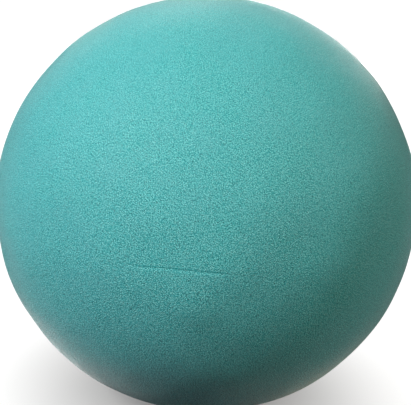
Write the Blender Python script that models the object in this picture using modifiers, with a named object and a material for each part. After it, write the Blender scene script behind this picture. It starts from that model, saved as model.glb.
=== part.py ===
"""A quiet indoor basketball: a soft foam cover in two bonded halves, closed round a springy foam core.

The ball stands on z = 0, on the small flat that soft foam makes under its own weight, with its
seam level and the axis of its two halves along +Z. Every piece is turned about that axis.
"""

import math

import bpy

# Driving dimensions, in metres
EQUATOR_DIAMETER = 0.240     # across the ball, level with the seam
POLE_DIAMETER = 0.236        # from pole to pole, before the foam settles under its own weight
REST_FLAT_DIAMETER = 0.032   # flat under the ball where the foam settles
COVER_WALL = 0.025           # thickness of the cover round the core
LIP_WIDTH = 0.004            # closed edge of the seam, from the skin inwards
BOND_THICKNESS = 0.0006      # film of cured glue behind the lip
REGISTER_WIDTH = 0.008       # thickness of the collar that centres one half in the other
REGISTER_HEIGHT = 0.006      # depth of that collar below the seam
FIT_GAP = 0.0003             # clearance between pieces that touch

# Fineness of the turned shapes
TURN_STEPS = 64              # faces round the axis
ARC_STEPS = 15               # faces along an arc from pole to seam
SHARP_EDGE_ANGLE = math.radians(40)

# Sizes that follow from the driving dimensions, measured from the ball's centre
OUTER_RADIUS = EQUATOR_DIAMETER / 2
OUTER_HEIGHT = POLE_DIAMETER / 2
CAVITY_RADIUS = OUTER_RADIUS - COVER_WALL
CAVITY_HEIGHT = OUTER_HEIGHT - COVER_WALL
CORE_RADIUS = CAVITY_RADIUS - FIT_GAP
CORE_HEIGHT = CAVITY_HEIGHT - FIT_GAP
REST_FLAT_RADIUS = REST_FLAT_DIAMETER / 2
CENTRE_HEIGHT = OUTER_HEIGHT * math.sqrt(1 - (REST_FLAT_RADIUS / OUTER_RADIUS) ** 2)

# Heights of the seam's faces: the lips close on the equator, and the glue lies in a channel below
UPPER_FACE = FIT_GAP / 2
LOWER_LIP = -FIT_GAP / 2
BOND_TOP = UPPER_FACE - FIT_GAP
BOND_BOTTOM = BOND_TOP - BOND_THICKNESS
CHANNEL_FLOOR = BOND_BOTTOM - FIT_GAP
REGISTER_FLOOR = -REGISTER_HEIGHT
COLLAR_END = REGISTER_FLOOR + FIT_GAP

# Radii of the seam's faces, from the skin inwards
CHANNEL_RADIUS = OUTER_RADIUS - LIP_WIDTH
BOND_RADIUS = CHANNEL_RADIUS - FIT_GAP
REGISTER_RADIUS = CAVITY_RADIUS + REGISTER_WIDTH
COLLAR_RADIUS = REGISTER_RADIUS - FIT_GAP

# Colours in linear RGB, with roughness
COVER_FOAM = ((0.090, 0.420, 0.410), 0.90)
CORE_FOAM = ((0.560, 0.590, 0.550), 0.85)
CURED_GLUE = ((0.620, 0.520, 0.330), 0.45)


def clear_scene():
    for obj in list(bpy.data.objects):
        bpy.data.objects.remove(obj, do_unlink=True)


def latitude_at(height, radius_z):
    """Angle above the equator at which an ellipse with this half height reaches a height."""
    return math.asin(height / radius_z)


def arc(radius_x, radius_z, start, end):
    """Points (distance from the axis, height) on an ellipse, from one latitude to another."""
    points = []
    for i in range(ARC_STEPS + 1):
        latitude = start + (end - start) * i / ARC_STEPS
        points.append((radius_x * math.cos(latitude), radius_z * math.sin(latitude)))
    return points


NORTH = math.pi / 2
SOUTH = -math.pi / 2


def upper_half_profile():
    """Down the skin from the pole, in along the seam, round the collar and up the cavity."""
    skin = arc(OUTER_RADIUS, OUTER_HEIGHT, NORTH, latitude_at(UPPER_FACE, OUTER_HEIGHT))
    collar = [(COLLAR_RADIUS, UPPER_FACE), (COLLAR_RADIUS, COLLAR_END)]
    cavity = arc(CAVITY_RADIUS, CAVITY_HEIGHT, latitude_at(COLLAR_END, CAVITY_HEIGHT), NORTH)
    return skin + collar + cavity


def lower_half_profile():
    """Up the cavity, out over the register and the glue channel to the lip, and down to the flat."""
    cavity = arc(CAVITY_RADIUS, CAVITY_HEIGHT, SOUTH, latitude_at(REGISTER_FLOOR, CAVITY_HEIGHT))
    seam = [
        (REGISTER_RADIUS, REGISTER_FLOOR),
        (REGISTER_RADIUS, CHANNEL_FLOOR),
        (CHANNEL_RADIUS, CHANNEL_FLOOR),
        (CHANNEL_RADIUS, LOWER_LIP),
    ]
    flat_edge = latitude_at(-CENTRE_HEIGHT, OUTER_HEIGHT)
    skin = arc(OUTER_RADIUS, OUTER_HEIGHT, latitude_at(LOWER_LIP, OUTER_HEIGHT), flat_edge)
    return cavity + seam + skin + [(0.0, -CENTRE_HEIGHT)]


def core_profile():
    """Down the core from pole to pole, with its points beside those of the cavity."""
    meeting = latitude_at((COLLAR_END + REGISTER_FLOOR) / 2, CORE_HEIGHT)
    upper = arc(CORE_RADIUS, CORE_HEIGHT, NORTH, meeting)
    lower = arc(CORE_RADIUS, CORE_HEIGHT, meeting, SOUTH)
    return upper + lower[1:]


def bond_profile():
    """Section of the glue ring, from its outer top edge round and back."""
    return [
        (BOND_RADIUS, BOND_TOP),
        (BOND_RADIUS, BOND_BOTTOM),
        (REGISTER_RADIUS, BOND_BOTTOM),
        (REGISTER_RADIUS, BOND_TOP),
    ]


def make_material(name, finish):
    colour, roughness = finish
    material = bpy.data.materials.new(name)
    material.use_nodes = True
    shader = material.node_tree.nodes["Principled BSDF"]
    shader.inputs["Base Color"].default_value = (*colour, 1.0)
    shader.inputs["Roughness"].default_value = roughness
    shader.inputs["Metallic"].default_value = 0.0
    material.diffuse_color = (*colour, 1.0)
    return material


def turned_piece(name, profile, closed, finish, centre, collection):
    """A piece turned about the ball's axis from a profile of (distance from the axis, height)."""
    last = len(profile) - 1
    edges = [(i, i + 1) for i in range(last)]
    if closed:
        edges.append((last, 0))
    outline = bpy.data.meshes.new(name + "_profile")
    outline.from_pydata([(x, 0.0, z) for x, z in profile], edges, [])

    piece = bpy.data.objects.new(name, outline)
    collection.objects.link(piece)
    screw = piece.modifiers.new("Turn", "SCREW")
    screw.axis = "Z"
    screw.angle = 2 * math.pi
    screw.steps = TURN_STEPS
    screw.render_steps = TURN_STEPS
    screw.use_merge_vertices = True
    screw.merge_threshold = 0.00001

    evaluated = piece.evaluated_get(bpy.context.evaluated_depsgraph_get())
    turned = bpy.data.meshes.new_from_object(evaluated)
    turned.name = name
    turned.shade_smooth()
    turned.set_sharp_from_angle(angle=SHARP_EDGE_ANGLE)
    piece.modifiers.clear()
    piece.data = turned
    bpy.data.meshes.remove(outline)

    turned.materials.append(make_material(name + "_finish", finish))
    piece.parent = centre
    return piece


def main():
    clear_scene()
    collection = bpy.data.collections.new("silent_basketball")
    bpy.context.scene.collection.children.link(collection)

    centre = bpy.data.objects.new("ball_centre", None)
    centre.location = (0.0, 0.0, CENTRE_HEIGHT)
    collection.objects.link(centre)

    turned_piece("upper_cover_half", upper_half_profile(), False, COVER_FOAM, centre, collection)
    turned_piece("lower_cover_half", lower_half_profile(), False, COVER_FOAM, centre, collection)
    turned_piece("seam_bond", bond_profile(), True, CURED_GLUE, centre, collection)
    turned_piece("rebound_core", core_profile(), False, CORE_FOAM, centre, collection)
    bpy.context.view_layer.update()


main()
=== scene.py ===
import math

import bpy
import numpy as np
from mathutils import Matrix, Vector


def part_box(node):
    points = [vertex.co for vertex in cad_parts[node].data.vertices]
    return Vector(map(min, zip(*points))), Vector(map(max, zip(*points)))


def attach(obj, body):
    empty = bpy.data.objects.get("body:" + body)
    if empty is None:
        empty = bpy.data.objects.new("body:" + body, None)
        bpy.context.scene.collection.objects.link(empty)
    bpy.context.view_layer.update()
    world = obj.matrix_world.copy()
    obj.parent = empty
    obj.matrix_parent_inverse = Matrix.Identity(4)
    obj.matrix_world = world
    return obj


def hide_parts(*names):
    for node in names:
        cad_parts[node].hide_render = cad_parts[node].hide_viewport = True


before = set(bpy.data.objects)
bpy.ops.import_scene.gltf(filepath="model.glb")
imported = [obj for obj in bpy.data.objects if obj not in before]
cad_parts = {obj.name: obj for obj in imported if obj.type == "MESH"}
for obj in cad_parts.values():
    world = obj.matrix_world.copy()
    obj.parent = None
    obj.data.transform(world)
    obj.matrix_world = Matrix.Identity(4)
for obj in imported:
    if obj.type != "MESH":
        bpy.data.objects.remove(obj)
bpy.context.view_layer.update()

# %% [markdown]
# # A quiet foam basketball
#
# The object is a ball for dribbling indoors without noise. It has no bladder and no rubber skin: it
# is foam all through, a soft teal cover in two bonded halves round a springy core. So nearly all of
# its looks are in one thing, the surface of bare moulded foam, and in the one mark on it, a short
# crease where the lips of the two halves show.
#
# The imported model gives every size. This lesson reads them, models the cover and the core as
# surfaces over a grid, dresses them in procedural foam, and lights them softly from the left, the
# right and behind.

FIT_GAP = 0.0003          # clearance that the solids keep between pieces that touch
REGISTER_WIDTH = 0.008    # thickness of the collar that centres the upper half in the lower one

upper_low, upper_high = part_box("upper_cover_half")
lower_low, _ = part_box("lower_cover_half")
core_low, core_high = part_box("rebound_core")
bond_low, bond_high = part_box("seam_bond")

seam_height = (core_low.z + core_high.z) / 2
skin_radius = upper_high.x
skin_rise = upper_high.z - seam_height
core_radius = core_high.x
core_rise = core_high.z - seam_height
cavity_radius = core_radius + FIT_GAP
cavity_rise = core_rise + FIT_GAP
ball_centre = Vector((0.0, 0.0, seam_height))
print(f"skin {2000 * skin_radius:.1f} mm across and {2000 * skin_rise:.1f} mm tall")
print(f"seam {1000 * seam_height:.1f} mm above the floor")

# %% [markdown]
# ## The camera
#
# The photograph fills its frame with the ball, so its outline is a strong clue. The outline gives the
# lens and the aim, and the crease gives the tilt: it lies on the level seam, yet it shows well below
# the middle of the outline, which a camera looking down at the ball explains. The crease also runs a
# little downhill to the right, so the camera was turned a few degrees about its line of sight.
#
# A camera can be aimed with a constraint, but three axes worked out one by one leave nothing to solve.

# %% Camera
PHOTO_WIDTH = 411
PHOTO_HEIGHT = 405
BALL_CENTRE_PX = (206.6, 202.9)     # where the ball's centre falls in the photograph
CAMERA_DISTANCE = 0.45              # from the ball's centre
CAMERA_ELEVATION = math.radians(15.23)
CAMERA_ROLL = math.radians(3.9)
LENS_MM = 66.6
SENSOR_MM = 36.0
NEAREST_SEEN = 0.01

camera_data = bpy.data.cameras.new("photo_camera")
camera_data.sensor_fit = "HORIZONTAL"
camera_data.sensor_width = SENSOR_MM
camera_data.lens = LENS_MM
camera_data.shift_x = (PHOTO_WIDTH / 2 - BALL_CENTRE_PX[0]) / PHOTO_WIDTH
camera_data.shift_y = (BALL_CENTRE_PX[1] - PHOTO_HEIGHT / 2) / PHOTO_WIDTH
camera_data.clip_start = NEAREST_SEEN

backward = Vector((0.0, -math.cos(CAMERA_ELEVATION), math.sin(CAMERA_ELEVATION)))
level_right = Vector((1.0, 0.0, 0.0))
level_up = backward.cross(level_right)
right = math.cos(CAMERA_ROLL) * level_right + math.sin(CAMERA_ROLL) * level_up
up = math.cos(CAMERA_ROLL) * level_up - math.sin(CAMERA_ROLL) * level_right

camera = bpy.data.objects.new("photo_camera", camera_data)
camera_turn = Matrix((right, up, backward)).transposed().to_4x4()
camera.matrix_world = Matrix.Translation(ball_centre + CAMERA_DISTANCE * backward) @ camera_turn
bpy.context.scene.collection.objects.link(camera)
bpy.context.scene.camera = camera
print(f"camera {1000 * CAMERA_DISTANCE:.0f} mm from the ball, lens {LENS_MM} mm")

# %% [markdown]
# ## A closed surface from a grid
#
# Every foam piece here is a profile carried round the ball's axis. Its points form a grid: one row for
# each step along the profile and one column for each step round the axis. A Screw modifier makes the
# same surface, but only with the same profile all the way round, and a moulded foam ball isn't that
# even. With whole arrays each column can differ from the next.
#
# The first and last rows shrink to single points on the axis, so the mesh closes there.

# %% Grid helper
SHARP_ANGLE = math.radians(38)     # an edge that turns by more than this stays crisp


def closed_surface(name, first_pole, rings, last_pole):
    """A mesh from rings[row, column] of points, closed by a fan at each pole.

    A quad joins two neighbouring rows and two neighbouring columns, the last column to the first.
    Rows run down the outside, columns run anticlockwise seen from above, so faces point outwards.
    """
    rows, columns, _ = rings.shape
    number = np.arange(rows * columns).reshape(rows, columns)
    following = np.roll(number, -1, axis=1)
    quads = np.stack([number[:-1], number[1:], following[1:], following[:-1]], axis=-1).reshape(-1, 4)
    start = np.full(columns, rows * columns)
    end = start + 1
    first_fan = np.stack([start, number[0], following[0]], axis=-1)
    last_fan = np.stack([number[-1], end, following[-1]], axis=-1)
    points = np.concatenate([rings.reshape(-1, 3), [first_pole], [last_pole]])

    mesh = bpy.data.meshes.new(name)
    mesh.from_pydata(points.tolist(), [], quads.tolist() + first_fan.tolist() + last_fan.tolist())
    mesh.shade_smooth()
    mesh.set_sharp_from_angle(angle=SHARP_ANGLE)
    piece = bpy.data.objects.new(name, mesh)
    bpy.context.scene.collection.objects.link(piece)
    triangles = 2 * len(quads) + len(first_fan) + len(last_fan)
    print(f"{name}: {rows} rows by {columns} columns, {triangles} triangles")
    return piece


def turned(radius, azimuth, height):
    """Points at a distance from the axis, an azimuth and a height above the seam.

    Azimuth 0 faces the camera and grows to the right: x = r sin(a), y = -r cos(a).
    """
    radius, azimuth, height = np.broadcast_arrays(radius, azimuth, height)
    return np.stack([radius * np.sin(azimuth), -radius * np.cos(azimuth), height + seam_height], axis=-1)

# %% [markdown]
# ## The seam and its crease
#
# The two halves of the cover are bonded lip to lip round the equator. On most of the ball the lips are
# closed so well that no line shows. For about 40 mm at the front the lower lip sits a little deeper
# than the upper one: a steep wall over a narrow shelf. Under light from above the wall is a thin dark
# line, and the shelf below it is a paler one. The step stops quickly at its right end. At its left end
# it thins to a faint tail.
#
# The seam also isn't quite level there. It rises by a millimetre or so, so in the photograph the crease
# looks straight where a level circle would sag, and it rises again under the tail. It could be drawn as
# a curve by hand. Bell curves and ripples of the azimuth are easier to adjust, one bend at a time.

# %% Seam line
CREASE_LEFT = math.radians(-14.2)
CREASE_LEFT_FADE = math.radians(1.2)
CREASE_RIGHT = math.radians(5.2)
CREASE_RIGHT_FADE = math.radians(0.5)
TAIL_LEFT = math.radians(-22.5)
TAIL_LEFT_FADE = math.radians(0.8)
TAIL_SHARE = 0.22               # depth of the tail over the depth of the crease

SEAM_RISES = (                  # height, middle and spread of each rise of the seam
    (0.00130, math.radians(-3.1), math.radians(12.5)),
    (0.00090, math.radians(-20.5), math.radians(3.5)),
)
SEAM_RIPPLES = ((0.00012, 3, 0.7), (0.00008, 7, 2.1))     # height, waves round the ball, phase


def s_curve(azimuth, middle, fade):
    """From 0 to 1 with a smooth step: (1 + tanh((a - middle) / fade)) / 2."""
    return 0.5 + 0.5 * np.tanh((azimuth - middle) / fade)


def lip_step(azimuth):
    """From 0 where the lips are flush to 1 along the crease, with a plateau of its own for the tail."""
    opened = s_curve(azimuth, CREASE_LEFT, CREASE_LEFT_FADE)
    closed = s_curve(azimuth, CREASE_RIGHT, CREASE_RIGHT_FADE)
    tail = s_curve(azimuth, TAIL_LEFT, TAIL_LEFT_FADE)
    return opened * (1 - closed) + TAIL_SHARE * tail * (1 - opened)


def seam_wander(azimuth):
    """Height of the seam over its plane: bell curves near the crease and slow ripples all round."""
    height = np.zeros_like(azimuth)
    for rise, middle, spread in SEAM_RISES:
        height += rise * np.exp(-(((azimuth - middle) / spread) ** 2))
    for ripple, waves, phase in SEAM_RIPPLES:
        height += ripple * np.sin(waves * azimuth + phase)
    return height


crease_length = skin_radius * (CREASE_RIGHT - CREASE_LEFT)
print(f"crease {1000 * crease_length:.0f} mm long")

# %% [markdown]
# A groove could be cut with a Boolean. As a depth taken off the skin it costs no extra faces, and it can
# fade in and out along the seam. The depth depends on the distance from the line, and differs above and
# below it: the wall belongs to the upper half, the shelf to the lower one.

# %% Seam depth
WALL_DEPTH = 0.00012            # of the steep wall above the line
WALL_WIDTH = 0.00020
SHELF_DEPTH = 0.00018           # of the lower lip, a little deeper than the foot of the wall
SHELF_END = 0.0004              # the lower lip lies flat up to here
SHELF_RISE_END = 0.0015         # and has climbed back to the skin here
HAIRLINE_DEPTH = 0.00002
HAIRLINE_WIDTH = 0.00010
WALL_POWER = 1.6                # between a pointed wall, 1, and a bell-shaped one, 2


def seam_depth(distance, azimuth, side):
    """How far the skin lies under its own level at a distance from the lip.

    Above the line it is a steep wall, depth * exp(-(s / w)^p). Below it is a flat shelf that climbs
    back slowly, depth * (1 - smoothstep(s)). A hairline runs on both sides all round.
    """
    step = lip_step(azimuth)
    hairline = HAIRLINE_DEPTH * np.exp(-((distance / HAIRLINE_WIDTH) ** WALL_POWER))
    if side > 0:
        return hairline + WALL_DEPTH * step * np.exp(-((distance / WALL_WIDTH) ** WALL_POWER))
    climb = np.clip((distance - SHELF_END) / (SHELF_RISE_END - SHELF_END), 0, 1)
    return hairline + SHELF_DEPTH * step * (1 - climb * climb * (3 - 2 * climb))


print(f"lower lip {1000 * SHELF_DEPTH:.2f} mm deep at the crease")

# %% [markdown]
# The columns of the grid can't be even all round: at one for each degree the crease would have no ends,
# and at the crease's own fineness the whole ball would be far too heavy. So they crowd together at the
# front and spread out behind.

# %% Columns round the ball
COLUMNS = 480
CROWDING = 1.6                  # extra columns at the crease, over the number behind the ball
CROWDING_MIDDLE = (CREASE_LEFT + CREASE_RIGHT) / 2
CROWDING_SPREAD = math.radians(20)
SUMMING_STEPS = 4001


def column_azimuths():
    """Angles round the axis, closer together at the crease.

    Each column takes an equal share of the running total of a density, 1 + k exp(-(a / w)^2).
    """
    fine = np.linspace(-math.pi, math.pi, SUMMING_STEPS)
    density = 1 + CROWDING * np.exp(-(((fine - CROWDING_MIDDLE) / CROWDING_SPREAD) ** 2))
    total = np.concatenate([[0.0], np.cumsum((density[1:] + density[:-1]) / 2)])
    return np.interp(np.arange(COLUMNS) / COLUMNS * total[-1], total, fine)


azimuths = column_azimuths()
closest = 1000 * skin_radius * np.diff(azimuths).min()
print(f"columns {closest:.2f} mm apart at the crease")
print(f"seam wanders up to {1000 * seam_wander(azimuths).max():.2f} mm")

# %% [markdown]
# ## The skin of the cover
#
# Foam that rises in a mould never comes out as true as turned metal: it swells and shrinks by a few
# tenths of a millimetre as it cures. A sum of waves in random directions gives that, and because the waves
# depend only on the place in space, both halves agree where they meet. Below the crease the foam is
# pushed out in a low pillow, which catches the light.

# %% Swell of the foam
WAVES = np.random.default_rng(7)
WAVE_COUNT = 28
SHORTEST_WAVE = 0.018
LONGEST_WAVE = 0.060
WAVE_LENGTHS = WAVES.uniform(SHORTEST_WAVE, LONGEST_WAVE, WAVE_COUNT)
WAVE_DIRECTIONS = WAVES.normal(size=(WAVE_COUNT, 3))
WAVE_DIRECTIONS /= np.linalg.norm(WAVE_DIRECTIONS, axis=1, keepdims=True)
WAVE_PHASES = WAVES.uniform(0, 2 * math.pi, WAVE_COUNT)
WAVE_STEEPNESS = 0.0011        # height of a wave over its length

PILLOW_AZIMUTH = math.radians(-1.5)
PILLOW_DROP = 0.018            # below the seam
PILLOW_RADIUS = 0.010
PILLOW_HEIGHT = 0.0007


def swell(points):
    """How far the skin stands off its ellipsoid: a sum of sines along random directions, and a bell."""
    heights = np.zeros(points.shape[:-1])
    for length, direction, phase in zip(WAVE_LENGTHS, WAVE_DIRECTIONS, WAVE_PHASES):
        heights += WAVE_STEEPNESS * length * np.sin(2 * math.pi / length * (points @ direction) + phase)
    pillow = turned(skin_radius, PILLOW_AZIMUTH, -PILLOW_DROP)
    away = np.linalg.norm(points - pillow, axis=-1)
    return heights + PILLOW_HEIGHT * np.exp(-((away / PILLOW_RADIUS) ** 2))


print(f"{WAVE_COUNT} waves of {1000 * WAVE_LENGTHS.min():.0f} to {1000 * WAVE_LENGTHS.max():.0f} mm")

# %% [markdown]
# The rows of the grid start at the lip, where the crease needs steps of less than a tenth of a
# millimetre, and widen towards the pole, where two millimetres are enough.

# %% Skin
FINE_ROW = 0.00007
COARSE_ROW = 0.0021
ROW_GROWTH = 1.25
MOST_ROWS = 120


def skin_rows(length):
    """Distances from the lip towards the pole: steps that grow from fine to coarse, as a running sum."""
    steps = np.minimum(FINE_ROW * ROW_GROWTH ** np.arange(MOST_ROWS), COARSE_ROW)
    rows = np.concatenate([[0.0], np.cumsum(steps)])
    return rows[rows < length - COARSE_ROW / 2]


LIP_GAP = 0.00002

quarter = math.pi / 4 * (skin_radius + skin_rise)
lip_distances = skin_rows(quarter)


def skin(side):
    """Outer skin from the lip to a pole, as distance from the axis and height; side 1 is the upper half.

    Latitude runs in shares from the lip, which wanders, to the pole. The point on the ellipsoid
    (a cos(t), c sin(t)) is then moved along its normal by the swell less the depth of the seam.
    """
    lip = (seam_wander(azimuths) + side * LIP_GAP) / skin_rise
    share = (lip_distances / quarter)[:, None]
    latitude = np.arcsin(lip)[None, :] * (1 - share) + side * math.pi / 2 * share
    across = skin_radius * np.cos(latitude)
    height = skin_rise * np.sin(latitude)
    normal_across = np.cos(latitude) / skin_radius
    normal_height = np.sin(latitude) / skin_rise
    length = np.hypot(normal_across, normal_height)
    offset = swell(turned(across, azimuths[None, :], height))
    offset -= seam_depth(lip_distances[:, None], azimuths[None, :], side)
    return across + offset * normal_across / length, height + offset * normal_height / length


print(f"{len(lip_distances)} rows from the lip to the pole")

# %% [markdown]
# ## The cover halves
#
# Each half is a thick cup. Its profile runs down the skin to the lip, in across the seam's faces, and
# back up the cavity. The upper half carries a collar that drops into the lower half and centres it, and
# the lower half has the channel that holds the glue. None of that shows on the closed ball, but it is
# how the ball would come apart on a bench, so the meshes have it too.

# %% Upper half
CAVITY_ROWS = 22
LAND_SHARES = (0.35, 0.7, 1.0)     # rows on the way from the lip in to the glue

upper_face = FIT_GAP / 2
collar_end = upper_low.z - seam_height
channel_radius = bond_high.x + FIT_GAP
register_radius = cavity_radius + REGISTER_WIDTH
collar_radius = register_radius - FIT_GAP


def plain_rings(profile):
    """Rings that are the same all the way round, from a list of (distance from the axis, height)."""
    profile = np.array(profile)
    return turned(profile[:, :1], azimuths[None, :], profile[:, 1:])


def cavity_rings(start_height, side):
    """Rings of the inner wall, from a height up or down to the last row before the pole."""
    start = math.asin(start_height / cavity_rise)
    latitude = start + (side * math.pi / 2 - start) * np.arange(CAVITY_ROWS) / CAVITY_ROWS
    profile = np.stack([cavity_radius * np.cos(latitude), cavity_rise * np.sin(latitude)], axis=-1)
    return plain_rings(profile)


def lip_land(across, height, inner_height):
    """Rows from the lip straight in to the glue channel, where the seam's wander has died out."""
    share = np.array(LAND_SHARES)[:, None]
    return turned(
        across[0] * (1 - share) + channel_radius * share,
        azimuths[None, :],
        height[0] * (1 - share) + inner_height * share,
    )


across, height = skin(1)
upper_rings = np.concatenate([
    turned(across, azimuths[None, :], height)[::-1],
    lip_land(across, height, upper_face),
    plain_rings([(collar_radius, upper_face), (collar_radius, collar_end)]),
    cavity_rings(collar_end, 1),
])
top_swell = float(swell(turned(0.0, 0.0, skin_rise)))
upper_cover = closed_surface(
    "foam_cover_upper",
    turned(0.0, 0.0, skin_rise + top_swell),
    upper_rings,
    turned(0.0, 0.0, cavity_rise),
)

# %% [markdown]
# The lower half ends in the flat that soft foam makes under the ball's weight. Its skin comes down to
# the floor and stays there: a smooth maximum of the skin's height and the floor's rounds the edge of
# the patch as foam does.

# %% Lower half
FLAT_EDGE_ROUNDING = 0.00025

lower_face = -FIT_GAP / 2
channel_floor = bond_low.z - seam_height - FIT_GAP
register_floor = collar_end - FIT_GAP
floor_level = lower_low.z - seam_height


def settled(height):
    """Smooth maximum of a height and the floor: k log(exp(h / k) + exp(f / k)), safe from overflow."""
    return floor_level + FLAT_EDGE_ROUNDING * np.logaddexp((height - floor_level) / FLAT_EDGE_ROUNDING, 0.0)


across, height = skin(-1)
height = settled(height)
lower_rings = np.concatenate([
    cavity_rings(register_floor, -1)[::-1],
    plain_rings([
        (register_radius, register_floor),
        (register_radius, channel_floor),
        (channel_radius, channel_floor),
    ]),
    lip_land(across, height, lower_face)[::-1],
    turned(across, azimuths[None, :], height),
])
lower_cover = closed_surface(
    "foam_cover_lower",
    turned(0.0, 0.0, -cavity_rise),
    lower_rings,
    turned(0.0, 0.0, floor_level),
)

# %% [markdown]
# Light that falls into the crease bounces between its lips, and at each bounce the dye takes some of its
# red. So the thin line gets a painted shade of deeper teal, not a greyer one. A number on each vertex of
# the upper half, 0 on the open skin, tells the material how near the crease it lies.

# %% Painted crease shade at the upper lip
CREASE_SHADE_WIDTH = 0.00030
CREASE_SHADE_NAME = "painted_crease_shade"

# Painted shade: the share of the crease's deeper teal that each vertex of the upper half takes
crease_shade = np.exp(-((lip_distances[:, None] / CREASE_SHADE_WIDTH) ** WALL_POWER)) * lip_step(azimuths)[None, :]
crease_shade_values = np.zeros(len(upper_cover.data.vertices))
crease_shade_values[:crease_shade.size] = crease_shade[::-1].ravel()     # the mesh starts with the skin, from pole to lip
crease_shade_attribute = upper_cover.data.attributes.new(CREASE_SHADE_NAME, "FLOAT", "POINT")
crease_shade_attribute.data.foreach_set("value", crease_shade_values)
print(f"{np.count_nonzero(crease_shade > 0.5)} vertices are more than half stained")

# %% [markdown]
# ## The core
#
# The core gives the ball its rebound. It is a foam ball of its own, which fills the cover's cavity. It
# is modelled a little uneven, always inwards, so that it never cuts the cover.

# %% Core
CORE_ROWS = 90
CORE_COLUMNS = 160
CORE_SHRINK = 0.00012

core_latitude = (np.pi / 2 - np.pi * (np.arange(CORE_ROWS) + 1) / (CORE_ROWS + 1))[:, None]
core_azimuth = (2 * np.pi * np.arange(CORE_COLUMNS) / CORE_COLUMNS)[None, :]
true_core = turned(core_radius * np.cos(core_latitude), core_azimuth, core_rise * np.sin(core_latitude))
unevenness = swell(true_core)
inward = CORE_SHRINK * (unevenness - unevenness.max()) / np.ptp(unevenness)
core_rings = turned(
    (core_radius + inward) * np.cos(core_latitude),
    core_azimuth,
    (core_rise + inward) * np.sin(core_latitude),
)
core = closed_surface(
    "foam_core", turned(0.0, 0.0, core_rise), core_rings, turned(0.0, 0.0, -core_rise)
)

# %% [markdown]
# ## Materials
#
# A material here is a small network of nodes that reads the object's own coordinates, in metres, so a
# pattern's scale is one over a real size. One function adds a node with its settings and links, and
# one turns the usual hex colours into the linear values that the shader wants.

# %% Material helpers
def linear(hex_colour):
    """sRGB hex to linear RGBA: c / 12.92 in the dark, ((c + 0.055) / 1.055)^2.4 above."""
    channels = np.array([int(hex_colour[i:i + 2], 16) / 255 for i in (1, 3, 5)])
    values = np.where(channels <= 0.04045, channels / 12.92, ((channels + 0.055) / 1.055) ** 2.4)
    return (*values.tolist(), 1.0)


def add_node(tree, kind, settings, inputs):
    """Adds a node, sets its properties, and fills its inputs with plain values or links from sockets."""
    node = tree.nodes.new(kind)
    for name, value in settings.items():
        setattr(node, name, value)
    for key, value in inputs.items():
        if isinstance(value, bpy.types.NodeSocket):
            tree.links.new(value, node.inputs[key])
        else:
            node.inputs[key].default_value = value
    return node


def new_material(name):
    """An empty node material and its tree."""
    material = bpy.data.materials.new(name)
    material.use_nodes = True
    material.node_tree.nodes.clear()
    return material, material.node_tree


print(f"the hex grey #808080 is {linear('#808080')[0]:.3f} in linear light")

# %% [markdown]
# ### The cells of bare foam
#
# The cover is uncoated polyurethane foam, and its surface is a cut through many small open cells. Each
# cell is a pit with paler walls, and from half a metre the eye gets only its mean tone: a crisp grain of
# dark and light dots. Real cells of such foam are a few tenths of a millimetre wide. Here they are drawn
# four tenths of a millimetre apart, about one to a pixel of the photograph, so that they show.
#
# A Voronoi pattern gives every cell a random tone. Alone it looks cloudy, because like tones lie side by
# side by chance. Real pits are spaced out, as one bubble pushes the next away. So from each point's tone
# a share of the mean tone at three neighbours is taken, as an unsharp mask does to a picture. The
# neighbours are found along the surface, east and north of the point, from the surface's normal.

# %% Cell pattern
CELL_MM = 0.40           # spacing of the cells
NEIGHBOUR_MM = 0.45      # how far off the neighbours lie
NEIGHBOURS = 3
SHARPENING = 0.70        # share of their mean tone that is taken away


def random_tone(tree, point):
    """A random value from 0 to 1 for the Voronoi cell that holds a point."""
    cells = add_node(
        tree, "ShaderNodeTexVoronoi", {"feature": "F1"},
        {"Vector": point, "Scale": 1000 / CELL_MM, "Randomness": 1.0},
    )
    chance = add_node(tree, "ShaderNodeSeparateColor", {}, {"Color": cells.outputs["Color"]})
    return chance.outputs["Red"]


def cell_tone(tree, place):
    """Tone of the cell at a place less a share k of the mean of its neighbours, brought back to 0 to 1.

    The formula is (t + k - k (t1 + t2 + t3) / 3) / (1 + k), whose mean is a half.
    """
    normal = add_node(tree, "ShaderNodeNewGeometry", {}, {}).outputs["Normal"]
    level = add_node(
        tree, "ShaderNodeVectorMath", {"operation": "CROSS_PRODUCT"}, {0: normal, 1: (0.0, 0.0, 1.0)}
    )
    east = add_node(tree, "ShaderNodeVectorMath", {"operation": "NORMALIZE"}, {0: level.outputs[0]})
    north = add_node(
        tree, "ShaderNodeVectorMath", {"operation": "CROSS_PRODUCT"}, {0: east.outputs[0], 1: normal}
    )
    whole = 1 + SHARPENING
    tone = add_node(
        tree, "ShaderNodeMath", {"operation": "MULTIPLY_ADD"},
        {0: random_tone(tree, place), 1: 1 / whole, 2: SHARPENING / whole},
    )
    for neighbour in range(NEIGHBOURS):
        bearing = 2 * math.pi * neighbour / NEIGHBOURS
        point = place
        for way, part in ((east, math.cos(bearing)), (north, math.sin(bearing))):
            reach = part * NEIGHBOUR_MM / 1000
            moved = add_node(
                tree, "ShaderNodeVectorMath", {"operation": "MULTIPLY_ADD"},
                {0: way.outputs[0], 1: (reach, reach, reach), 2: point},
            )
            point = moved.outputs[0]
        tone = add_node(
            tree, "ShaderNodeMath", {"operation": "MULTIPLY_ADD"},
            {0: random_tone(tree, point), 1: -SHARPENING / whole / NEIGHBOURS, 2: tone.outputs[0]},
        )
    return tone.outputs[0]


print(f"cells {CELL_MM} mm apart, sharpened against {NEIGHBOURS} neighbours")

# %% [markdown]
# ### Pores and specks
#
# Here and there a bubble was larger and left a dark pore, or a cell wall lies square to the light and
# makes a bright speck. Both are small discs round points of a wider Voronoi pattern, and the random
# colour of a point decides how strong its mark is, from none to full.

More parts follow.
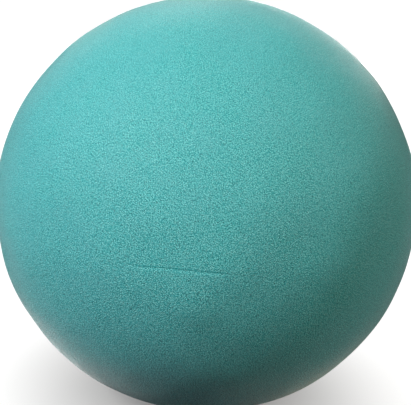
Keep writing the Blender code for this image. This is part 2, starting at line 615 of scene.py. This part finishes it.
# %% Pores and specks
MARK_MM = 1.2            # spacing of the points that may carry a pore or a speck
MARK_CORE = 0.5          # share of a mark's radius over which it is even
MARKS = (                # random channel, radius in spacings, share of points, colour
    ("Red", 0.30, 0.6, "speck"),
    ("Green", 0.36, 0.9, "pore"),
)


def with_marks(tree, place, ground, colours):
    """The ground colour with discs mixed in: a smooth step of the distance times a random strength.

    Over the share q of the points that carry a mark, the strength is 1 - c / q, where c is chance.
    """
    points = add_node(
        tree, "ShaderNodeTexVoronoi", {"feature": "F1"},
        {"Vector": place, "Scale": 1000 / MARK_MM, "Randomness": 1.0},
    )
    chance = add_node(tree, "ShaderNodeSeparateColor", {}, {"Color": points.outputs["Color"]})
    for channel, radius, most, colour in MARKS:
        near = add_node(
            tree, "ShaderNodeMapRange", {"interpolation_type": "SMOOTHSTEP"},
            {
                "Value": points.outputs["Distance"],
                "From Min": MARK_CORE * radius,
                "From Max": radius,
                "To Min": 1.0,
                "To Max": 0.0,
            },
        )
        strength = add_node(
            tree, "ShaderNodeMapRange", {},
            {
                "Value": chance.outputs[channel],
                "From Min": 0.0,
                "From Max": most,
                "To Min": 1.0,
                "To Max": 0.0,
            },
        )
        share = add_node(
            tree, "ShaderNodeMath", {"operation": "MULTIPLY"},
            {0: near.outputs["Result"], 1: strength.outputs["Result"]},
        )
        marked = add_node(
            tree, "ShaderNodeMix", {"data_type": "RGBA"},
            {"Factor": share.outputs[0], "A": ground, "B": linear(colours[colour])},
        )
        ground = marked.outputs["Result"]
    return ground


print(f"points for pores and specks {MARK_MM} mm apart")

# %% [markdown]
# ### Grain that fades upwards
#
# In the photograph the grain is strong low on the ball and faint near its top. Light that grazes the
# lower half leaves its pits dark, and light that falls into the pits higher up evens them out. Cells this
# fine can't be shaded one by one, so it is their contrast that changes: the higher a place lies, the
# closer its colour comes to the body's.

# %% Fading with height
FADE_START = -0.6        # from the seam, over half the ball's height
FADE_END = 0.8
FADE_SHARE = 0.45        # most that the body's colour takes over


def faded_upwards(tree, place, ground, body):
    """The ground colour mixed with the body's, by a share that grows in proportion to the height."""
    height = add_node(tree, "ShaderNodeSeparateXYZ", {}, {"Vector": place})
    share = add_node(
        tree, "ShaderNodeMapRange", {},
        {
            "Value": height.outputs["Z"],
            "From Min": seam_height + FADE_START * skin_rise,
            "From Max": seam_height + FADE_END * skin_rise,
            "To Min": 0.0,
            "To Max": FADE_SHARE,
        },
    )
    faded = add_node(
        tree, "ShaderNodeMix", {"data_type": "RGBA"},
        {"Factor": share.outputs["Result"], "A": ground, "B": linear(body)},
    )
    return faded.outputs["Result"]


print(f"grain fades by {FADE_SHARE:.0%} towards the top")

# %% [markdown]
# ### Drift and painted crease shade
#
# Dye never spreads quite evenly through a batch of foam, so over the cells the colour drifts to a greyer
# tone, in patches of a centimetre or two. They could be painted by hand on the mesh. A slow noise does it
# with one number for their size, and goes round the ball without a break. The painted shade of the crease
# comes over that, from the numbers that the upper half carries.

# %% Drift and painted crease shade
DRIFT_MM = 16.0
DRIFT_RANGE = (0.3, 0.7)         # of the noise, over which the drift grows
DRIFT_SHARE = 0.15               # most that the drift takes over


def drifted(tree, place, ground, greyer):
    """The ground colour mixed with a greyer one, by a share that grows with a slow noise."""
    patches = add_node(
        tree, "ShaderNodeTexNoise", {},
        {"Vector": place, "Scale": 1000 / DRIFT_MM, "Detail": 3.0, "Roughness": 0.55},
    )
    share = add_node(
        tree, "ShaderNodeMapRange", {},
        {
            "Value": patches.outputs["Fac"],
            "From Min": DRIFT_RANGE[0],
            "From Max": DRIFT_RANGE[1],
            "To Min": 0.0,
            "To Max": DRIFT_SHARE,
        },
    )
    mixed = add_node(
        tree, "ShaderNodeMix", {"data_type": "RGBA"},
        {"Factor": share.outputs["Result"], "A": ground, "B": linear(greyer)},
    )
    return mixed.outputs["Result"]


def crease_shaded(tree, ground, deeper):
    """The ground colour mixed with a deeper one, a painted shade along the crease, by the number that each
    vertex carries.
    """
    nearness = add_node(tree, "ShaderNodeAttribute", {"attribute_name": CREASE_SHADE_NAME}, {})
    mixed = add_node(
        tree, "ShaderNodeMix", {"data_type": "RGBA"},
        {"Factor": nearness.outputs["Fac"], "A": ground, "B": linear(deeper)},
    )
    return mixed.outputs["Result"]


print(f"dye drifts by up to {DRIFT_SHARE:.0%} in patches of {DRIFT_MM:.0f} mm")

# %% [markdown]
# ### Relief and roughness
#
# The cells make the skin rough to the touch, with hollows and ridges a third of a millimetre deep. As
# geometry they would need millions of faces, so one noise gives them as a bump. The same noise sets the
# roughness of the gloss, a little higher in the hollows.

# %% Relief and roughness
RELIEF_MM = 0.9
RELIEF_DEPTH = 0.0003
RELIEF_RANGE = (0.2, 1.0)        # of the noise, from hollow to ridge
HOLLOW_ROUGHNESS = 0.62
RIDGE_ROUGHNESS = 0.48


def cell_relief(tree, place):
    """Normal and roughness of the skin: the slope of a noise, and the noise brought to a range."""
    hills = add_node(
        tree, "ShaderNodeTexNoise", {},
        {"Vector": place, "Scale": 1000 / RELIEF_MM, "Detail": 1.0, "Roughness": 0.6},
    )
    bump = add_node(
        tree, "ShaderNodeBump", {},
        {"Strength": 1.0, "Distance": RELIEF_DEPTH, "Height": hills.outputs["Fac"]},
    )
    rough = add_node(
        tree, "ShaderNodeMapRange", {},
        {
            "Value": hills.outputs["Fac"],
            "From Min": RELIEF_RANGE[0],
            "From Max": RELIEF_RANGE[1],
            "To Min": HOLLOW_ROUGHNESS,
            "To Max": RIDGE_ROUGHNESS,
        },
    )
    return bump.outputs["Normal"], rough.outputs["Result"]


print(f"relief {1000 * RELIEF_DEPTH:.1f} mm deep, ridges about {RELIEF_MM} mm apart")

# %% [markdown]
# ### Moulded polyurethane foam
#
# The cell's tone picks a colour between a pit and a wall. Light that goes down into a pit meets the dye
# several times, so a pit isn't only darker but a deeper teal, with hardly any red left. The marks, the
# fading, the drift and the painted shade of the crease then go over that one after another.
#
# Foam of this kind is matte, with a weak, broad gloss. Seen along the surface, the torn cell walls stand
# up like short fibres and catch light from behind, which the shader's sheen gives.

# %% Foam
RAMP_STOPS = ((0.10, "pit"), (0.36, "shade"), (0.48, "body"), (0.86, "wall"))
GLOSS_LEVEL = 0.12
SHEEN_WEIGHT = 0.57
SHEEN_ROUGHNESS = 0.3


def moulded_foam(name, colours):
    """Foam: the cells' tone through a ramp of four colours, marked, faded, drifted, given painted crease
    shade, raised.
    """
    material, tree = new_material(name)
    place = add_node(tree, "ShaderNodeTexCoord", {}, {}).outputs["Object"]
    ramp = add_node(tree, "ShaderNodeValToRGB", {}, {"Fac": cell_tone(tree, place)})
    stops = ramp.color_ramp.elements
    stops.remove(stops[1])
    stops[0].position = RAMP_STOPS[0][0]
    for position, _ in RAMP_STOPS[1:]:
        stops.new(position)
    for stop, (_, colour) in zip(stops, RAMP_STOPS):
        stop.color = linear(colours[colour])

    ground = with_marks(tree, place, ramp.outputs["Color"], colours)
    ground = faded_upwards(tree, place, ground, colours["body"])
    ground = drifted(tree, place, ground, colours["drift"])
    # painted shade along the crease, from the numbers on the upper half
    ground = crease_shaded(tree, ground, colours["crease_shade"])
    normal, roughness = cell_relief(tree, place)
    shader = add_node(
        tree, "ShaderNodeBsdfPrincipled", {},
        {
            "Base Color": ground,
            "Roughness": roughness,
            "Normal": normal,
            "IOR": 1.5,
            "Specular IOR Level": GLOSS_LEVEL,
            "Sheen Weight": SHEEN_WEIGHT,
            "Sheen Roughness": SHEEN_ROUGHNESS,
            "Sheen Tint": linear("#ffffff"),
        },
    )
    add_node(tree, "ShaderNodeOutputMaterial", {}, {"Surface": shader.outputs["BSDF"]})
    print(f"{name}: {len(tree.nodes)} nodes")
    return material


cover_foam = moulded_foam("bare_teal_polyurethane_foam", {
    "pit": "#005e62",
    "shade": "#008e94",
    "body": "#4db9be",
    "wall": "#a8ffff",
    "drift": "#75b8c6",
    "pore": "#00585e",
    "speck": "#b0ffff",
    # a deeper teal, painted as shade along the crease
    "crease_shade": "#00b8be",
})
for half in (upper_cover, lower_cover):
    half.data.materials.append(cover_foam)

# %% [markdown]
# The core is the same kind of foam without the dye: off-white, with the same cells. It is denser and
# springier than the cover, which doesn't show.

# %% Core foam
core_foam = moulded_foam("high_rebound_core_foam", {
    "pit": "#8f948c",
    "shade": "#a9aea6",
    "body": "#c3c8bf",
    "wall": "#e2e5dd",
    "drift": "#dcdcd2",
    "pore": "#6f746c",
    "speck": "#f0f2ec",
    # painted crease shade; the core carries no crease numbers, so it doesn't show
    "crease_shade": "#a9aea6",
})
core.data.materials.append(core_foam)

# %% [markdown]
# ### Cured glue
#
# The bond is a thin film of contact adhesive: amber, a little glossy, and streaked where it was spread.
# Its ring is plain and its shape is right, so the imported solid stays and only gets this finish.

# %% Glue
GLUE_STREAK_MM = 3.0
GLUE_STREAK_DEPTH = 0.0002

cured_glue, tree = new_material("cured_contact_adhesive")
place = add_node(tree, "ShaderNodeTexCoord", {}, {}).outputs["Object"]
streaks = add_node(
    tree, "ShaderNodeTexNoise", {}, {"Vector": place, "Scale": 1000 / GLUE_STREAK_MM, "Detail": 3.0}
)
glue_colour = add_node(
    tree, "ShaderNodeMix", {"data_type": "RGBA"},
    {"Factor": streaks.outputs["Fac"], "A": linear("#b08d52"), "B": linear("#dcc48e")},
)
glue_bump = add_node(
    tree, "ShaderNodeBump", {},
    {"Strength": 0.4, "Distance": GLUE_STREAK_DEPTH, "Height": streaks.outputs["Fac"]},
)
glue_shader = add_node(
    tree, "ShaderNodeBsdfPrincipled", {},
    {
        "Base Color": glue_colour.outputs["Result"],
        "Roughness": 0.38,
        "Normal": glue_bump.outputs["Normal"],
        "IOR": 1.5,
    },
)
add_node(tree, "ShaderNodeOutputMaterial", {}, {"Surface": glue_shader.outputs["BSDF"]})
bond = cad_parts["seam_bond"]
bond.data.materials.clear()
bond.data.materials.append(cured_glue)
print("glue dressed on the packed ring")

# %% [markdown]
# ## Floor and backdrop
#
# The photograph was cut out on white, so the floor and the backdrop show white to the camera, in
# reflections and through glass, and still take the ball's shadow. The ball itself stood on something
# dark: its underside gets almost no light from below. So to light that bounces, the floor is dark.
#
# One strip makes both: along the floor, round a quarter circle and up the wall, with no edge behind.

# %% Sweep
FLOOR_HALF_WIDTH = 5.0
FLOOR_FRONT = -5.0
FLOOR_BACK = 4.0
SWEEP_RADIUS = 1.0
WALL_HEIGHT = 4.0
FLOOR_DROP = 0.0002       # keeps the floor clear of the ball's flat
SWEEP_STEPS = 16


def swept_backdrop():
    """A strip from the front edge along the floor, round a quarter circle and up the wall."""
    bend = np.linspace(0, np.pi / 2, SWEEP_STEPS)
    wall = FLOOR_BACK + SWEEP_RADIUS
    y = np.concatenate([[FLOOR_FRONT], FLOOR_BACK + SWEEP_RADIUS * np.sin(bend), [wall]])
    z = np.concatenate([[0.0], SWEEP_RADIUS * (1 - np.cos(bend)), [WALL_HEIGHT]]) - FLOOR_DROP
    rows = len(y)
    left_edge = np.stack([np.full(rows, -FLOOR_HALF_WIDTH), y, z], axis=-1)
    right_edge = left_edge * np.array([-1.0, 1.0, 1.0])
    number = np.arange(rows)
    faces = np.stack([number[:-1], number[:-1] + rows, number[1:] + rows, number[1:]], axis=-1)
    mesh = bpy.data.meshes.new("studio_sweep")
    mesh.from_pydata(np.concatenate([left_edge, right_edge]).tolist(), [], faces.tolist())
    mesh.shade_smooth()
    sweep = bpy.data.objects.new("studio_sweep", mesh)
    bpy.context.scene.collection.objects.link(sweep)
    return sweep


sweep = swept_backdrop()
print(f"sweep of {len(sweep.data.polygons)} faces")

# %% [markdown]
# The paper of the sweep glows white, which drowns the shadows of the lamps far from the ball, as in the
# cut-out photograph. Towards the ball's foot the glow dies away into a painted shade round the ball, and
# there the lamps' shadows show on the paper too.

# %% White paper
SHADE_START = 0.01        # distance from the ball's foot
SHADE_END = 0.16
SHADE_GLOW = 0.15
OPEN_GLOW = 1.0


def seen_directly(tree):
    """1 for camera, glossy and transmission rays, 0 for light that bounces off a matte surface."""
    path = add_node(tree, "ShaderNodeLightPath", {}, {})
    either = add_node(
        tree, "ShaderNodeMath", {"operation": "MAXIMUM"},
        {0: path.outputs["Is Camera Ray"], 1: path.outputs["Is Glossy Ray"]},
    )
    any_of_them = add_node(
        tree, "ShaderNodeMath", {"operation": "MAXIMUM"},
        {0: either.outputs[0], 1: path.outputs["Is Transmission Ray"]},
    )
    return any_of_them.outputs[0]


white_paper, tree = new_material("white_paper_sweep")
place = add_node(tree, "ShaderNodeTexCoord", {}, {}).outputs["Object"]
away = add_node(tree, "ShaderNodeVectorMath", {"operation": "LENGTH"}, {0: place})
# Painted shade: the paper's glow is dimmed by distance near the ball's foot
brightness = add_node(
    tree, "ShaderNodeMapRange", {"interpolation_type": "SMOOTHSTEP"},
    {
        "Value": away.outputs["Value"],
        "From Min": SHADE_START,
        "From Max": SHADE_END,
        "To Min": SHADE_GLOW,
        "To Max": OPEN_GLOW,
    },
)
paper = add_node(tree, "ShaderNodeBsdfDiffuse", {}, {"Color": linear("#7c7c7c")})
glow = add_node(
    tree, "ShaderNodeEmission", {}, {"Color": linear("#ffffff"), "Strength": brightness.outputs["Result"]}
)
shown = add_node(tree, "ShaderNodeAddShader", {}, {0: paper.outputs[0], 1: glow.outputs[0]})
dark = add_node(tree, "ShaderNodeBsdfDiffuse", {}, {"Color": linear("#1c1c1e")})
paper_or_dark = add_node(
    tree, "ShaderNodeMixShader", {}, {0: seen_directly(tree), 1: dark.outputs[0], 2: shown.outputs[0]}
)
add_node(tree, "ShaderNodeOutputMaterial", {}, {"Surface": paper_or_dark.outputs[0]})
sweep.data.materials.append(white_paper)
print(f"paper glows at {OPEN_GLOW}, at the ball's foot at {SHADE_GLOW}")

# %% [markdown]
# ## Light
#
# The shading on the photographed ball fits three soft sources above it: a strong white window at the
# left, a warmer one about a third as strong at the right, and some light from behind, which catches the
# top edge. Large area lamps give the soft edge of window light.
#
# A fourth lamp stands low behind the ball. It hardly reaches what the photograph shows, so it isn't
# matched to anything there: it keeps the far side from going dark when seen from elsewhere.

# %% Lamps
LAMP_DISTANCE = 3.0
LAMP_SIZE = 0.8
FULL_LIGHT = math.pi ** 2 * LAMP_DISTANCE ** 2      # watts at which a white face square on is white


def area_lamp(name, azimuth, elevation, level, colour):
    """A square lamp that faces the ball; level 1 shows a white face, square on, as white."""
    data = bpy.data.lights.new(name, "AREA")
    data.shape = "SQUARE"
    data.size = LAMP_SIZE
    data.energy = level * FULL_LIGHT
    data.color = linear(colour)[:3]
    lamp = bpy.data.objects.new(name, data)
    round_axis = math.radians(azimuth)
    above = math.radians(elevation)
    way = Vector((
        math.sin(round_axis) * math.cos(above),
        -math.cos(round_axis) * math.cos(above),
        math.sin(above),
    ))
    facing = way.to_track_quat("Z", "Y").to_matrix().to_4x4()
    lamp.matrix_world = Matrix.Translation(ball_centre + LAMP_DISTANCE * way) @ facing
    bpy.context.scene.collection.objects.link(lamp)
    print(f"{name}: {azimuth} degrees round, {elevation} degrees up, {data.energy:.1f} W")


area_lamp("window_left", -52, 39, 0.98, "#fffffc")
area_lamp("window_right", 52, 36, 0.35, "#fff2d9")
area_lamp("window_behind", -172, 35, 0.20, "#fff8f0")
area_lamp("fill_behind", 176, 6, 0.55, "#ffffff")

# %% [markdown]
# The world is white to the camera and in reflections, and gives no light of its own to the ball. Left
# on, it would fill the dark underside.

# %% World
world = bpy.data.worlds.new("studio_world")
bpy.context.scene.world = world
world.use_nodes = True
world.node_tree.nodes.clear()
tree = world.node_tree
unlit = add_node(tree, "ShaderNodeBackground", {}, {"Color": linear("#000000"), "Strength": 0.0})
white = add_node(tree, "ShaderNodeBackground", {}, {"Color": linear("#ffffff"), "Strength": 1.0})
sky = add_node(
    tree, "ShaderNodeMixShader", {}, {0: seen_directly(tree), 1: unlit.outputs[0], 2: white.outputs[0]}
)
add_node(tree, "ShaderNodeOutputWorld", {}, {"Surface": sky.outputs[0]})
bpy.context.scene.view_settings.view_transform = "Standard"
print("world white to the camera")

# %% [markdown]
# ## Joining the pieces to the frame
#
# Nothing on the ball moves, so every piece rides on the one body. The cover and the core stand for their
# solids.

# %% Ride and finish
for piece, node, slot in (
    (upper_cover, "upper_cover_half", "cover_foam"),
    (lower_cover, "lower_cover_half", "cover_foam"),
    (core, "rebound_core", "core_foam"),
):
    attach(piece, "root")
    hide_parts(node)
